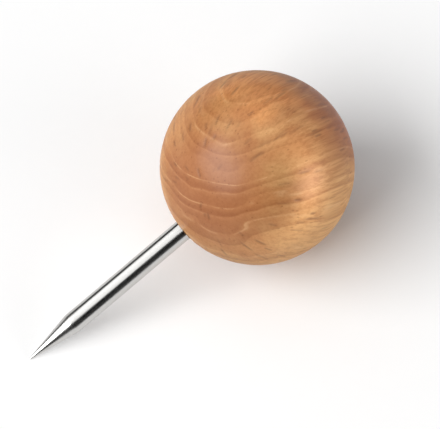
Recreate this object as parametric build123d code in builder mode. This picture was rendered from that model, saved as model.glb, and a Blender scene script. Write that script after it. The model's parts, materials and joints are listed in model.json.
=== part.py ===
# A push pin: a turned wooden ball glued on a steel needle, lying on a table.
# Millimetres, +Z up. The table is z = 0, and the ball and the needle's point both touch it.
# The needle points towards -X and down.

from build123d import *

import os
from math import asin, atan2, cos, degrees, hypot, radians, sin, sqrt, tan

# The ball
ball_diameter = 10.0

# The needle outside the ball
needle_diameter = 1.1
exposed_length = 10.2
point_length = 2.8
tip_radius = 0.05

# The ringed stem inside the ball
buried_length = 6.0
ring_count = 9
ring_depth = 0.08
stem_chamfer = 0.15

# The drilled hole and the glue in it
bore_clearance = 0.05
end_clearance = 0.3
drill_point_angle = 118.0
countersink_width = 0.15
countersink_angle = 25.0
meniscus_dip = 0.04

ball_radius = ball_diameter / 2
needle_radius = needle_diameter / 2
ring_root_radius = needle_radius - ring_depth
bore_radius = needle_radius + bore_clearance
mouth_radius = bore_radius + countersink_width

# Places along the needle, from the ball's centre towards the tip
tip_end = ball_radius + exposed_length
tip_centre = tip_end - tip_radius
shank_start = ball_radius
shank_end = tip_end - point_length
stem_end = ball_radius - buried_length
mouth_rim = sqrt(ball_radius**2 - mouth_radius**2)
countersink_end = mouth_rim - countersink_width / tan(radians(countersink_angle / 2))
bore_end = stem_end - end_clearance
drill_tip = bore_end - bore_radius / tan(radians(drill_point_angle / 2))

# The pin leans until its rounded tip meets the table, and its bounding box is centred on the origin
lean = asin((ball_radius - tip_radius) / tip_centre)
ball_x = (tip_centre * cos(lean) + tip_radius - ball_radius) / 2
ball_centre = Vector(ball_x, 0, ball_radius)
needle_direction = Vector(-cos(lean), 0, -sin(lean))
needle_axis = Axis(ball_centre, needle_direction)

# Half-sections lie in this plane: x runs along the needle from the ball's centre, y out from its axis
half_section = Plane(origin=ball_centre, x_dir=needle_direction, z_dir=(0, 1, 0))

# The drilled hole's wall, from the drill point out to the countersunk rim
bore_wall = [
    (drill_tip, 0),
    (bore_end, bore_radius),
    (countersink_end, bore_radius),
    (mouth_rim, mouth_radius),
]

# The stem's wall, from the shank inwards. Each ring tapers towards the inner end, so that it resists a pull
ring_pitch = (buried_length - stem_chamfer) / ring_count
stem_wall = [(shank_start, needle_radius)]
for ring in range(1, ring_count + 1):
    ring_end = shank_start - ring * ring_pitch
    stem_wall.append((ring_end, ring_root_radius))
    if ring < ring_count:
        stem_wall.append((ring_end, needle_radius))
stem_wall.append((stem_end, ring_root_radius - stem_chamfer))
stem_wall.append((stem_end, 0))

# The ground point is a cone that runs smoothly into the rounded tip
point_run = tip_centre - shank_end
point_half_angle = atan2(needle_radius, point_run) - asin(tip_radius / hypot(point_run, needle_radius))
tip_tangent = (
    tip_centre + tip_radius * sin(point_half_angle),
    tip_radius * cos(point_half_angle),
)

os.makedirs("parts", exist_ok=True)

# Wooden ball, with a blind hole drilled towards its centre
rim_angle = degrees(asin(mouth_radius / ball_radius))
with BuildPart() as wood_ball:
    with BuildSketch(half_section):
        with BuildLine():
            Polyline(*bore_wall)
            CenterArc((0, 0), ball_radius, rim_angle, 180 - rim_angle)
            Line((-ball_radius, 0), (drill_tip, 0))
        make_face()
    revolve(axis=needle_axis)

# Steel needle: ringed stem, plain shank and ground point
with BuildPart() as steel_needle:
    with BuildSketch(half_section):
        with BuildLine():
            Polyline(*stem_wall)
            Line((stem_end, 0), (tip_end, 0))
            CenterArc((tip_centre, 0), tip_radius, 0, 90 - degrees(point_half_angle))
            Polyline(tip_tangent, (shank_end, needle_radius), (shank_start, needle_radius))
        make_face()
    revolve(axis=needle_axis)

# Cured glue: it fills the hole round the stem and ends in a hollow meniscus inside the countersink
meniscus_low_point = (
    (mouth_rim + shank_start) / 2 - meniscus_dip,
    (mouth_radius + needle_radius) / 2,
)
with BuildPart() as glue_bond:
    with BuildSketch(half_section):
        with BuildLine():
            Polyline(*bore_wall)
            ThreePointArc((mouth_rim, mouth_radius), meniscus_low_point, (shank_start, needle_radius))
            Polyline(*stem_wall)
            Line((stem_end, 0), (drill_tip, 0))
        make_face()
    revolve(axis=needle_axis)

wood_ball.part.label = "wood_ball"
steel_needle.part.label = "steel_needle"
glue_bond.part.label = "glue_bond"

export_step(wood_ball.part, "parts/wood_ball.step")
export_step(steel_needle.part, "parts/steel_needle.step")
export_step(glue_bond.part, "parts/glue_bond.step")
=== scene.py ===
import json
from math import asin, atan, cos, hypot, pi, radians, sin, sqrt, tan

import bpy
import numpy as np
from mathutils import Matrix, Vector, noise


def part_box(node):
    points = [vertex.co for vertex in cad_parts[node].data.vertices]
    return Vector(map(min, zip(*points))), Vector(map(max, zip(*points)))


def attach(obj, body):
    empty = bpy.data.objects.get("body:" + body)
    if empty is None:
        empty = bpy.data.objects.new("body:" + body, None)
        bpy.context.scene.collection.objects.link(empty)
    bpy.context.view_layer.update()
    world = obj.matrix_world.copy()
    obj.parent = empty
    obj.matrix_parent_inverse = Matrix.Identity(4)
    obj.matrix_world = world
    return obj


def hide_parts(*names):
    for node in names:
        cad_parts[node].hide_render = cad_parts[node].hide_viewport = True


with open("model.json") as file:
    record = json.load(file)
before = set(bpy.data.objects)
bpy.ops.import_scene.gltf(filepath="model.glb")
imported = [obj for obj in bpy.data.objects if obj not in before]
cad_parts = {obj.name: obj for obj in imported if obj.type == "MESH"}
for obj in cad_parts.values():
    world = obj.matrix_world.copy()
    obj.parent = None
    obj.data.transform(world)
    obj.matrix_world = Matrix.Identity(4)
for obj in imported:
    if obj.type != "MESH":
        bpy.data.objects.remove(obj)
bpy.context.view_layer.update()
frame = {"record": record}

# A push pin lying on a white table: a turned, stained and lacquered wooden ball on a polished steel needle.
# Metres, +Z up. Shapes are worked out in millimetres in the pin's own frame: the origin is the ball's
# centre and z runs along the needle towards its point.
MM = 0.001

# The ball and the straight shank, as the frame has them
shank = frame["record"]["mounts"][0]
NEEDLE_AXIS = Vector(shank["axis"]).normalized()
NEEDLE_RADIUS = shank["dims"]["r_mm"]
SHANK_LENGTH = shank["dims"]["length_mm"]
ball_low, ball_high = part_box("wood_ball")
BALL_CENTRE = (ball_low + ball_high) / 2
BALL_RADIUS = round((ball_high.z - ball_low.z) / 2 / MM, 1)

# The ground point, the ringed stem in the ball, and the drilled hole with its glue
POINT_LENGTH = 2.8
TIP_RADIUS = 0.05
BURIED_LENGTH = 6.0
RING_COUNT = 9
RING_DEPTH = 0.08
STEM_CHAMFER = 0.15
BORE_CLEARANCE = 0.05
END_CLEARANCE = 0.3
DRILL_POINT_ANGLE = 118
COUNTERSINK_WIDTH = 0.15
COUNTERSINK_ANGLE = 25
MENISCUS_DIP = 0.04

# Places along the needle from the ball's centre, and radii out from its axis
SHANK_END = BALL_RADIUS + SHANK_LENGTH
STEM_END = BALL_RADIUS - BURIED_LENGTH
BORE_RADIUS = NEEDLE_RADIUS + BORE_CLEARANCE
BORE_END = STEM_END - END_CLEARANCE
DRILL_TIP = BORE_END - BORE_RADIUS / tan(radians(DRILL_POINT_ANGLE / 2))
MOUTH_RADIUS = BORE_RADIUS + COUNTERSINK_WIDTH
MOUTH_SLOPE = tan(radians(COUNTERSINK_ANGLE / 2))
MOUTH_RIM = sqrt(BALL_RADIUS**2 - MOUTH_RADIUS**2)
COUNTERSINK_END = MOUTH_RIM - COUNTERSINK_WIDTH / MOUTH_SLOPE

# The finish: edges worn round, the waves and ripples that sanding leaves, open pores, and uneven glue
RIM_ROUNDING = 0.08
SHOULDER_ROUNDING = 0.12
RING_EDGE = 0.01
SANDING_WAVE = 0.012
SANDING_RIPPLE = 0.004
PORE_COUNT = 160
PORE_DEPTH = 0.020
GLUE_SINK = 0.03
GLUE_CREEP = 0.02
GLUE_UNEVENNESS = 0.02

# How finely the meshes are divided, and the angle in degrees from which an edge counts as sharp
BALL_RINGS = 224
BALL_SEGMENTS = 400
NEEDLE_SEGMENTS = 96
SHARP_ANGLE = 40

# The pin's frame: x level and across the needle, z along it
PIN_X = Vector((0, 1, 0))
PIN_Y = NEEDLE_AXIS.cross(PIN_X)
PIN_TURN = Matrix((PIN_X, PIN_Y, NEEDLE_AXIS)).transposed()

# The photograph's viewing angles in degrees, the width of the frame in millimetres, and where its middle
# lies from the ball's
VIEW_AZIMUTH = -36
VIEW_ELEVATION = 61
FRAME_WIDTH = 22.5
CAMERA_DISTANCE = 450.0
SENSOR_WIDTH = 36.0
AIM_RIGHT = -1.9
AIM_UP = -2.4

# The wood in the table's frame: the way its fibres run, the way out to the bark, how far off the tree's
# heart is, and how wide a year's ring is
FIBRE = Vector((-0.80, -0.17, 0.58)).normalized()
BARK_SIDE = Vector((-0.25, -0.40, -0.80))
BARK_SIDE = (BARK_SIDE - FIBRE * BARK_SIDE.dot(FIBRE)).normalized()
HEART_DISTANCE = 8.0
RING_WIDTH = 0.70

# Painted light in the wood's colour: a side darkened as painted shade, a lower side made pale gold as a
# painted highlight, and the top made orange as painted light from above
SHADE_PAINTED_SIDE = Vector((0.98, -0.11, 0.16))
HIGHLIGHT_PAINTED_SIDE = Vector((0.20, -0.95, -0.24))
TOP_LIGHT_PAINTED_SIDE = Vector((0.24, 0.33, 0.91))

# Light that comes from all round, as a share of white
ROOM_LIGHT = 0.15


def linear(red, green, blue):
    """A colour written as 0 to 255 for a screen, as the shader's linear values."""
    shares = [c / 255 for c in (red, green, blue)]
    return [c / 12.92 if c < 0.04045 else ((c + 0.055) / 1.055) ** 2.4 for c in shares] + [1]


class Surface:
    """One material. A value given to its calls is a number, a vector or another node's output."""

    def __init__(self, name):
        self.material = bpy.data.materials.new(name)
        self.material.use_nodes = True
        self.tree = self.material.node_tree
        self.shader = self.tree.nodes["Principled BSDF"]

    def put(self, socket, value):
        if isinstance(value, bpy.types.NodeSocket):
            self.tree.links.new(value, socket)
        else:
            socket.default_value = value

    def node(self, kind, inputs=None, **settings):
        made = self.tree.nodes.new("ShaderNode" + kind)
        for name, value in settings.items():
            setattr(made, name, value)
        for key, value in (inputs or {}).items():
            self.put(made.inputs[key], value)
        return made

    def maths(self, operation, *values):
        return self.node("Math", dict(enumerate(values)), operation=operation).outputs[0]

    def vector(self, operation, *values):
        made = self.node("VectorMath", dict(enumerate(values)), operation=operation)
        is_number = operation in ("DOT_PRODUCT", "LENGTH")
        return made.outputs["Value" if is_number else "Vector"]

    def scaled(self, vector, amount):
        made = self.node("VectorMath", {0: vector, "Scale": amount}, operation="SCALE")
        return made.outputs["Vector"]

    def joined(self, x, y, z):
        return self.node("CombineXYZ", {0: x, 1: y, 2: z}).outputs[0]

    def place(self):
        """Millimetres from the ball's centre, in the table's axes."""
        spot = self.node("TexCoord").outputs["Object"]
        return self.scaled(self.vector("SUBTRACT", spot, BALL_CENTRE), 1 / MM)

    def noise(self, vector, scale, detail=3.0, roughness=0.5):
        inputs = {"Vector": vector, "Scale": scale, "Detail": detail, "Roughness": roughness}
        return self.node("TexNoise", inputs).outputs[0]

    def ranged(self, value, low, high, to_low=0.0, to_high=1.0):
        inputs = {"Value": value, "From Min": low, "From Max": high, "To Min": to_low, "To Max": to_high}
        return self.node("MapRange", inputs, interpolation_type="SMOOTHSTEP").outputs[0]

    def mixed(self, share, first, second, blend="MIX"):
        made = self.node("Mix", {0: share, 6: first, 7: second}, data_type="RGBA", blend_type=blend)
        return made.outputs[2]

    def set(self, **values):
        for name, value in values.items():
            self.put(self.shader.inputs[name.replace("_", " ")], value)
        return self.material


def growth_rings(s, grain, outward, sideways):
    """Shares of dark late wood and pale early wood, in rings bent and spaced unevenly round the heart."""
    wander = s.noise(s.vector("MULTIPLY", grain, (1, 1, 0.4)), 0.25, 2.0)
    from_heart = s.vector("LENGTH", s.joined(s.maths("ADD", outward, HEART_DISTANCE), sideways, 0.0))
    years = s.noise(s.joined(from_heart, 0.0, 0.0), 0.9, 1.0)
    ring_place = s.maths("MULTIPLY_ADD", years, 1.6, s.maths("MULTIPLY_ADD", wander, 2.2, from_heart))
    ring_number = s.maths("DIVIDE", ring_place, RING_WIDTH)
    ring = s.maths("FRACT", ring_number)
    draw = s.node("TexWhiteNoise", {"W": s.maths("FLOOR", ring_number)}, noise_dimensions="1D")
    lot = draw.outputs["Value"]
    late_wood = s.maths("MULTIPLY", s.ranged(ring, 0.1, 0.85), s.ranged(ring, 1.0, 0.88))
    late_wood = s.maths("MULTIPLY", late_wood, s.ranged(lot, 0.0, 1.0, 0.25, 1.0))
    early_wood = s.maths("MULTIPLY", s.ranged(ring, 0.0, 0.06), s.ranged(ring, 0.26, 0.08))
    early_wood = s.maths("MULTIPLY", early_wood, s.ranged(lot, 0.2, 0.9))
    early_wood = s.maths("MULTIPLY", early_wood, s.ranged(s.noise(grain, 1.1, 2.0), 0.35, 0.65))
    return late_wood, early_wood


def stain_and_painted_light(s, place, grain, end_grain):
    """The wood's colour: cloudy, darker on end grain, with painted shade on one side, a painted highlight
    on the lower side and painted light on top.
    """
    broad = s.noise(s.vector("MULTIPLY", grain, (1, 1, 0.14)), 0.8, 2.0, 0.5)
    cloud = s.noise(grain, 0.28, 2.0, 0.5)
    blotch = s.maths("MULTIPLY", s.noise(grain, 0.5, 2.0), 2.0)

    def share(side, low, high, most):
        reach = s.maths("ADD", s.vector("DOT_PRODUCT", place, side), blotch)
        return s.ranged(reach, low, high, 0.0, most)

    colour = s.mixed(s.ranged(broad, 0.3, 0.7), linear(198, 136, 83), linear(214, 161, 105))
    colour = s.mixed(s.ranged(cloud, 0.4, 0.7, 0.0, 0.35), colour, linear(193, 128, 78))
    colour = s.mixed(end_grain, colour, linear(172, 113, 72))
    # Painted shade: the side away from the key lamp is darkened
    colour = s.mixed(share(SHADE_PAINTED_SIDE, 3.6, 5.8, 0.85), colour, linear(200, 150, 122), "MULTIPLY")
    # Painted highlight: the lower side, lit by the table and the fill lamp, is made pale gold
    colour = s.mixed(share(HIGHLIGHT_PAINTED_SIDE, 3.4, 5.6, 0.85), colour, linear(240, 186, 124))
    # Painted light: the top is made a brighter orange, as if lit from above
    return s.mixed(share(TOP_LIGHT_PAINTED_SIDE, 5.2, 6.0, 0.6), colour, linear(233, 157, 92))


def wood_surface():
    """Stained hardwood under satin lacquer, with painted shade and painted highlights in its colour. Its
    fibres give a golden band that runs across them.
    """
    s = Surface("stained_wood")
    place = s.place()
    outward = s.vector("DOT_PRODUCT", place, BARK_SIDE)
    sideways = s.vector("DOT_PRODUCT", place, FIBRE.cross(BARK_SIDE))
    along = s.vector("DOT_PRODUCT", place, FIBRE)
    grain = s.joined(outward, sideways, along)
    normal = s.node("NewGeometry").outputs["Normal"]
    facing_end = s.maths("ABSOLUTE", s.vector("DOT_PRODUCT", normal, FIBRE))
    end_grain = s.ranged(facing_end, 0.62, 0.97)
    late_wood, early_wood = growth_rings(s, grain, outward, sideways)

    # Fibres are many times longer than wide, and vessels are thin dark dashes along them
    fine = s.noise(s.vector("MULTIPLY", grain, (1, 1, 0.05)), 6.5, 4.0, 0.65)
    streaks = s.maths("MULTIPLY", s.ranged(fine, 0.60, 0.35), s.ranged(facing_end, 0.0, 1.0, 0.7, 0.3))
    cells = s.node("TexVoronoi", {"Vector": s.vector("MULTIPLY", grain, (1, 1, 0.09)), "Scale": 3.4})
    vessel = s.ranged(cells.outputs["Distance"], 0.20, 0.08)
    pore = s.node("Attribute", attribute_name="pore").outputs["Fac"]

    # The colour, from the broad colouring with its painted shade and highlights down to the pores
    colour = stain_and_painted_light(s, place, grain, end_grain)
    colour = s.mixed(s.maths("MULTIPLY", late_wood, 0.45), colour, linear(204, 176, 158), "MULTIPLY")
    colour = s.mixed(s.maths("MULTIPLY", early_wood, 0.34), colour, linear(232, 188, 138))
    colour = s.mixed(streaks, colour, linear(222, 202, 184), "MULTIPLY")
    colour = s.mixed(s.maths("MULTIPLY", vessel, 0.35), colour, linear(172, 142, 120), "MULTIPLY")
    colour = s.mixed(s.maths("MULTIPLY", pore, 0.6), colour, linear(92, 54, 34))

    # The fibres rise and dip from streak to streak, which breaks the golden band into fine strokes.
    # On end grain their cut ends scatter the light instead.
    rise = s.maths("SUBTRACT", s.maths("MULTIPLY_ADD", late_wood, 0.12, fine), 0.54)
    tilt = s.scaled(FIBRE, s.maths("MULTIPLY", rise, 0.22))
    ends = s.node("TexNoise", {"Vector": grain, "Scale": 9.0, "Detail": 2.0}).outputs["Color"]
    ends = s.scaled(s.vector("SUBTRACT", ends, (0.5, 0.5, 0.5)), s.maths("MULTIPLY", end_grain, 0.5))
    tilted = s.vector("NORMALIZE", s.vector("ADD", s.vector("ADD", normal, tilt), ends))
    roughness = s.maths("MULTIPLY_ADD", end_grain, 0.3, s.maths("MULTIPLY_ADD", fine, 0.10, 0.43))

    # The sheen of the fibres and the satin lacquer over them both fade where they are seen at a flat angle
    slant = s.node("LayerWeight", {"Blend": 0.5}).outputs["Facing"]
    sheen = s.maths("MULTIPLY", s.maths("SUBTRACT", 1.0, end_grain), s.ranged(slant, 0.28, 0.64, 0.40, 0.0))
    return s.set(
        Base_Color=colour,
        Metallic=sheen,
        Roughness=roughness,
        Normal=tilted,
        Tangent=s.vector("CROSS_PRODUCT", normal, FIBRE),
        Anisotropic=0.75,
        Specular_IOR_Level=0.1,
        Specular_Tint=linear(190, 150, 104),
        Coat_Weight=s.ranged(slant, 0.35, 0.8, 0.62, 0.15),
        Coat_Roughness=0.36,
        Coat_IOR=1.5,
    )


def steel_surface():
    """Polished steel wire with faint drawing lines, and a duller ground point."""
    s = Surface("needle_steel")
    place = s.place()
    along = s.vector("DOT_PRODUCT", place, NEEDLE_AXIS)
    wire = s.joined(s.vector("DOT_PRODUCT", place, PIN_X), s.vector("DOT_PRODUCT", place, PIN_Y), along)
    on_point = s.ranged(along, SHANK_END - 0.3, SHANK_END + 0.3)
    drawn = s.noise(s.vector("MULTIPLY", wire, (1, 1, 0.02)), 14.0, 2.0, 0.6)
    ground = s.noise(s.vector("MULTIPLY", wire, (1, 1, 6)), 5.0, 2.0, 0.6)
    smudge = s.noise(place, 0.8, 3.0, 0.6)
    relief = s.maths("MULTIPLY_ADD", ground, on_point, s.maths("MULTIPLY", drawn, 0.25))
    bump = s.node("Bump", {"Strength": 0.12, "Distance": 0.01 * MM, "Height": relief}).outputs[0]
    roughness = s.maths("MULTIPLY_ADD", on_point, 0.05, s.maths("MULTIPLY_ADD", smudge, 0.10, 0.16))
    colour = s.mixed(s.ranged(smudge, 0.4, 0.8, 0.0, 0.5), linear(198, 197, 195), linear(185, 183, 180))
    return s.set(Base_Color=colour, Metallic=1.0, Roughness=roughness, Normal=bump)


def glue_surface():
    """Cured amber glue, glossy, with small clouds."""
    s = Surface("cured_glue")
    cloud = s.noise(s.place(), 3.0, 3.0, 0.6)
    colour = s.mixed(cloud, linear(128, 84, 44), linear(168, 120, 70))
    bump = s.node("Bump", {"Strength": 0.2, "Distance": 0.02 * MM, "Height": cloud}).outputs[0]
    return s.set(Base_Color=colour, Roughness=s.maths("MULTIPLY_ADD", cloud, 0.15, 0.35), Normal=bump)


def table_surface():
    """Matt white paper that throws less light back than it shows. Away from the pin it is plain white.

    That white is only to be seen, directly or mirrored, so it doesn't light the pin.
    """
    s = Surface("white_table")
    s.material.cycles.emission_sampling = "NONE"
    place = s.place()
    rays = s.node("LightPath").outputs
    speckle = s.noise(place, 0.9, 2.0, 0.6)
    colour = s.mixed(speckle, linear(252, 252, 252), linear(254, 254, 254))
    colour = s.mixed(rays["Is Diffuse Ray"], colour, linear(176, 176, 176))
    far = s.ranged(s.vector("LENGTH", place), 7.0, 24.0)
    shown = s.maths("MULTIPLY", far, s.maths("SUBTRACT", 1.0, rays["Is Diffuse Ray"]))
    shade = s.maths("SUBTRACT", 1.0, shown)
    return s.set(
        Base_Color=s.mixed(shade, linear(0, 0, 0), colour),
        Roughness=0.8,
        Specular_IOR_Level=0.0,
        Emission_Color=(1, 1, 1, 1),
        Emission_Strength=shown,
    )


def dark_surface():
    """The unlit room round the table, a little less dark near the table's height."""
    s = Surface("dark_room")
    place = s.place()
    height = s.node("SeparateXYZ", {0: place}).outputs["Z"]
    colour = s.mixed(s.noise(place, 0.01), linear(24, 24, 25), linear(36, 36, 37))
    colour = s.mixed(s.ranged(height, 500.0, 0.0), colour, linear(110, 110, 110))
    return s.set(Base_Color=colour, Roughness=0.9, Specular_IOR_Level=0.0)


def turned(profile, segments):
    """Points and faces turned round z from (along, out) pairs. The first and the last lie on the axis.

    Faces look outwards where the pairs run up the outside, so pairs that run up a hole come in reverse.
    """
    along, out = np.array(profile).T
    angles = np.linspace(0, 2 * pi, segments, endpoint=False)
    rings = np.empty((len(along) - 2, segments, 3))
    rings[..., 0] = out[1:-1, None] * np.cos(angles)
    rings[..., 1] = out[1:-1, None] * np.sin(angles)
    rings[..., 2] = along[1:-1, None]
    points = np.concatenate([rings.reshape(-1, 3), [[0, 0, along[0]], [0, 0, along[-1]]]])
    first, last = len(points) - 2, len(points) - 1
    here = np.arange(segments)
    after = np.roll(here, -1)
    faces = []
    for low in range(0, first - segments, segments):
        high = low + segments
        faces += np.stack([low + here, low + after, high + after, high + here], 1).tolist()
    end = first - segments
    faces += np.stack([np.full(segments, first), after, here], 1).tolist()
    faces += np.stack([np.full(segments, last), end + here, end + after], 1).tolist()
    return points, faces


def placed(name, points, faces, material):
    """A smooth object from points in the pin's frame, set where the pin lies."""
    mesh = bpy.data.meshes.new(name)
    turn = np.array(PIN_TURN)
    mesh.from_pydata((points @ turn.T * MM + np.array(BALL_CENTRE)).tolist(), [], faces)
    mesh.shade_smooth()
    mesh.set_sharp_from_angle(angle=radians(SHARP_ANGLE))
    mesh.materials.append(material)
    piece = bpy.data.objects.new(name, mesh)
    bpy.context.scene.collection.objects.link(piece)
    return piece


def spread(stops, step):
    """The stops, with points between them so that none are much further apart than step."""
    points = [stops[0]]
    for a, b in zip(stops, stops[1:]):
        count = max(1, round(hypot(b[0] - a[0], b[1] - a[1]) / step))
        for i in range(1, count + 1):
            points.append((a[0] + (b[0] - a[0]) * i / count, a[1] + (b[1] - a[1]) * i / count))
    return points


def rounded(start, corner, end, count):
    """Points on a smooth bend from start to end, drawn towards the corner."""
    bend = []
    for t in np.linspace(0, 1, count):
        shares = ((1 - t) ** 2, 2 * t * (1 - t), t**2)
        bend.append(tuple(np.dot(shares, values) for values in zip(start, corner, end)))
    return bend


def wood_pores(directions):
    """How deep in an open pore each direction lies, from 0 to 1. Pores are long along the fibres."""
    rng = np.random.default_rng(4)
    deep = np.zeros(len(directions))
    fibre = np.array(PIN_TURN.transposed() @ FIBRE)
    for _ in range(PORE_COUNT):
        centre = rng.normal(size=3)
        centre /= np.linalg.norm(centre)
        side = np.cross(fibre, centre)
        slant = np.linalg.norm(side)
        side /= slant
        lengthwise = np.cross(centre, side)
        length = 0.08 + rng.uniform(0.1, 0.5) * slant
        width = rng.uniform(0.045, 0.07)
        strength = rng.uniform(0.3, 1.0)
        near = np.flatnonzero(directions @ centre > cos(3 * length / BALL_RADIUS))
        u = directions[near] @ lengthwise * BALL_RADIUS / length
        v = directions[near] @ side * BALL_RADIUS / width
        deep[near] = np.maximum(deep[near], strength * np.exp(-(u**4) - v**2))
    return deep


def sanded(direction):
    """How high the sanded surface stands in this direction: broad waves, with ripples on them."""
    wave = noise.noise(Vector(direction) * 2.2)
    ripple = noise.noise(Vector(direction) * 7)
    return wave * SANDING_WAVE + ripple * SANDING_RIPPLE


def wood_ball():
    """The turned ball with its drilled and countersunk hole, open pores and the unevenness of sanding."""
    rim = (MOUTH_RIM, MOUTH_RADIUS)
    rim_angle = asin(MOUTH_RADIUS / BALL_RADIUS) + RIM_ROUNDING / BALL_RADIUS
    turns = np.linspace(rim_angle, pi, BALL_RINGS)[:-1]
    sphere = [(BALL_RADIUS * cos(a), BALL_RADIUS * sin(a)) for a in turns]
    slope_end = (MOUTH_RIM - RIM_ROUNDING, MOUTH_RADIUS - RIM_ROUNDING * MOUTH_SLOPE)
    hole = spread([(BORE_END, BORE_RADIUS), (COUNTERSINK_END, BORE_RADIUS)], step=0.5)
    slope = spread([hole[-1], slope_end], step=0.12)
    edge = rounded(slope_end, rim, sphere[0], count=5)
    profile = [(DRILL_TIP, 0), *hole, *slope[1:], *edge[1:-1], *sphere, (-BALL_RADIUS, 0)]
    points, faces = turned(profile[::-1], BALL_SEGMENTS)

    reach = np.linalg.norm(points, axis=1)
    outside = np.isclose(reach, BALL_RADIUS)
    directions = points / reach[:, None]
    pores = np.where(outside, wood_pores(directions), 0)
    height = np.array([sanded(d) for d in directions]) - SANDING_WAVE - PORE_DEPTH * pores
    height = np.where(outside, height, 0)
    ball = placed("wood_ball_turned", points + directions * height[:, None], faces, wood_surface())
    attribute = ball.data.attributes.new("pore", "FLOAT", "POINT")
    attribute.data.foreach_set("value", pores.astype(np.float32))
    return ball


def stem_outline():
    """The ringed stem, from its inner end to the ball's surface. Rings taper inwards to resist a pull."""
    pitch = (BURIED_LENGTH - STEM_CHAMFER) / RING_COUNT
    root = NEEDLE_RADIUS - RING_DEPTH
    outline = [(STEM_END, root - STEM_CHAMFER), (STEM_END + STEM_CHAMFER, root)]
    for ring in range(RING_COUNT - 1, 0, -1):
        ring_end = BALL_RADIUS - ring * pitch
        outline += [(ring_end - RING_EDGE, NEEDLE_RADIUS), (ring_end, root)]
    return outline + [(BALL_RADIUS, NEEDLE_RADIUS)]


def steel_needle():
    """The needle: ringed stem in the ball, plain shank and ground point."""
    tip_end = SHANK_END + POINT_LENGTH
    tip_centre = tip_end - TIP_RADIUS
    point_run = tip_centre - SHANK_END
    taper = atan(NEEDLE_RADIUS / point_run) - asin(TIP_RADIUS / hypot(point_run, NEEDLE_RADIUS))
    tangent = (tip_centre + TIP_RADIUS * sin(taper), TIP_RADIUS * cos(taper))
    shoulder = rounded(
        (SHANK_END - SHOULDER_ROUNDING, NEEDLE_RADIUS),
        (SHANK_END, NEEDLE_RADIUS),
        (SHANK_END + SHOULDER_ROUNDING, NEEDLE_RADIUS - SHOULDER_ROUNDING * tan(taper)),
        count=5,
    )
    outline = stem_outline()
    outline += spread([outline[-1], shoulder[0]], step=0.4)[1:]
    outline += shoulder[1:]
    outline += spread([outline[-1], tangent], step=0.2)[1:]
    turns = np.linspace(pi / 2 - taper, 0, 8)[1:-1]
    outline += [(tip_centre + TIP_RADIUS * cos(a), TIP_RADIUS * sin(a)) for a in turns]
    points, faces = turned([(STEM_END, 0), *outline, (tip_end, 0)], NEEDLE_SEGMENTS)
    return placed("steel_needle_ground", points, faces, steel_surface())


def glue_bond():
    """The glue round the stem, which ends in a hollow and slightly uneven meniscus in the hole's mouth."""
    rim = (MOUTH_RIM - GLUE_SINK, MOUTH_RADIUS - GLUE_SINK)
    low_point = ((MOUTH_RIM + BALL_RADIUS) / 2 - 2 * MENISCUS_DIP, (MOUTH_RADIUS + NEEDLE_RADIUS) / 2)
    meniscus = rounded(rim, low_point, (BALL_RADIUS - GLUE_CREEP, NEEDLE_RADIUS), count=9)
    wall = [(DRILL_TIP, 0), (BORE_END, BORE_RADIUS), (COUNTERSINK_END, BORE_RADIUS)]
    inside = stem_outline()[::-1][1:]
    points, faces = turned([*wall, *meniscus, *inside, (STEM_END, 0)], NEEDLE_SEGMENTS)
    on_top = points[:, 2] > (COUNTERSINK_END + MOUTH_RIM) / 2
    uneven = np.array([noise.noise(Vector(p) * 2.5) - 0.5 for p in points]) * GLUE_UNEVENNESS
    points[:, 2] += np.where(on_top, uneven, 0)
    return placed("glue_bond_cured", points, faces, glue_surface())


def toward(turn, elevation):
    """The direction from the pin at these degrees round from the camera's side and up from the table."""
    azimuth = radians(VIEW_AZIMUTH + turn)
    height = radians(elevation)
    return Vector((sin(azimuth) * cos(height), -cos(azimuth) * cos(height), sin(height)))


def camera():
    """A long lens at the photograph's angle, so that the pin is seen with almost no perspective."""
    back = toward(0, VIEW_ELEVATION)
    right = toward(90, 0)
    up = back.cross(right)
    aim = BALL_CENTRE + (right * AIM_RIGHT + up * AIM_UP) * MM
    data = bpy.data.cameras.new("camera")
    data.sensor_width = SENSOR_WIDTH
    data.lens = SENSOR_WIDTH * CAMERA_DISTANCE / FRAME_WIDTH
    data.clip_start = 0.01
    data.clip_end = 20
    made = bpy.data.objects.new("camera", data)
    bpy.context.scene.collection.objects.link(made)
    turn = Matrix((right, up, back)).transposed().to_4x4()
    made.matrix_world = Matrix.Translation(aim + back * CAMERA_DISTANCE * MM) @ turn
    bpy.context.scene.camera = made


def softbox(name, turn, elevation, distance, width, height, level):
    """A lamp aimed at the pin. level is how bright it makes a white surface that faces it."""
    direction = toward(turn, elevation)
    data = bpy.data.lights.new(name, "AREA")
    data.shape = "RECTANGLE"
    data.size = width
    data.size_y = height
    data.energy = level * pi**2 * distance**2
    lamp = bpy.data.objects.new(name, data)
    bpy.context.scene.collection.objects.link(lamp)
    facing = direction.to_track_quat("Z", "Y").to_matrix().to_4x4()
    lamp.matrix_world = Matrix.Translation(direction * distance) @ facing
    lamp.visible_camera = False


def staged(name, corners, faces, material):
    """A part of the studio, which isn't part of the pin."""
    mesh = bpy.data.meshes.new(name)
    mesh.from_pydata(corners, [], faces)
    mesh.materials.append(material)
    made = bpy.data.objects.new(name, mesh)
    bpy.context.scene.collection.objects.link(made)
    return made


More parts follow.
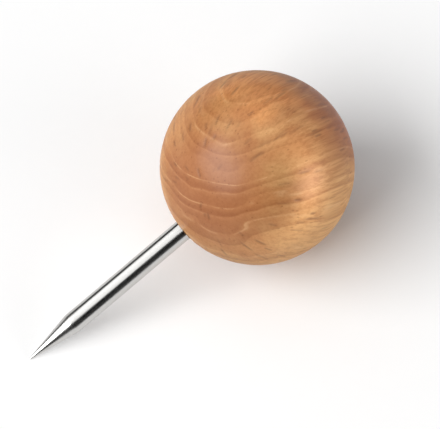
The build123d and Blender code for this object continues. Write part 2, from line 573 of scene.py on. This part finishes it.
def dark_card(name, start, end, low, high, material):
    """A curved dark card round the table, which only reflections show.

    It runs from start to end in degrees round from the camera's side, and from low to high above the table.
    """
    distance = 0.9
    count = 24
    corners = []
    for turn in np.linspace(start, end, count):
        corners += [toward(turn, low) * distance, toward(turn, high) * distance]
    faces = [(2 * i, 2 * i + 2, 2 * i + 3, 2 * i + 1) for i in range(count - 1)]
    card = staged(name, corners, faces, material)
    card.visible_camera = False
    card.visible_diffuse = False
    card.visible_shadow = False


def room():
    """The world: white where it is seen or mirrored, and a dim light on everything else."""
    world = bpy.data.worlds.new("studio")
    bpy.context.scene.world = world
    world.use_nodes = True
    tree = world.node_tree
    rays = tree.nodes.new("ShaderNodeLightPath").outputs
    seen = rays["Is Camera Ray"]
    for other in ("Is Glossy Ray", "Is Transmission Ray"):
        either = tree.nodes.new("ShaderNodeMath")
        either.operation = "MAXIMUM"
        tree.links.new(seen, either.inputs[0])
        tree.links.new(rays[other], either.inputs[1])
        seen = either.outputs[0]
    strength = tree.nodes.new("ShaderNodeMapRange")
    strength.inputs["To Min"].default_value = ROOM_LIGHT
    tree.links.new(seen, strength.inputs["Value"])
    background = tree.nodes["Background"]
    background.inputs["Color"].default_value = (1, 1, 1, 1)
    tree.links.new(strength.outputs[0], background.inputs["Strength"])


def studio():
    """White table, a softbox on the left, one overhead, a weak one on the right, and dark cards around."""
    size = 3.0
    corners = [(-size, -size, 0), (size, -size, 0), (size, size, 0), (-size, size, 0)]
    staged("table", corners, [(0, 1, 2, 3)], table_surface())
    softbox("key", turn=-66, elevation=40, distance=0.40, width=0.42, height=0.26, level=1.15)
    softbox("top", turn=-112, elevation=70, distance=0.50, width=0.72, height=0.72, level=0.34)
    softbox("fill", turn=66, elevation=13, distance=0.40, width=0.24, height=0.18, level=0.42)
    dark = dark_surface()
    dark_card("room_far", start=198, end=290, low=4, high=34, material=dark)
    dark_card("room_near", start=-60, end=60, low=2, high=60, material=dark)
    dark_card("room_back", start=160, end=198, low=3, high=13, material=dark)
    dark_card("room_top", start=-70, end=70, low=76, high=89, material=dark)
    room()


def dress():
    """Each piece takes its CAD node's place."""
    pieces = {
        "wood_ball": (wood_ball(), "stained_wood"),
        "steel_needle": (steel_needle(), "needle_steel"),
        "glue_bond": (glue_bond(), "cured_glue"),
    }
    for node, (piece, slot) in pieces.items():
        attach(piece, "root")
        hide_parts(node)


bpy.context.scene.view_settings.view_transform = "Standard"
camera()
studio()
dress()
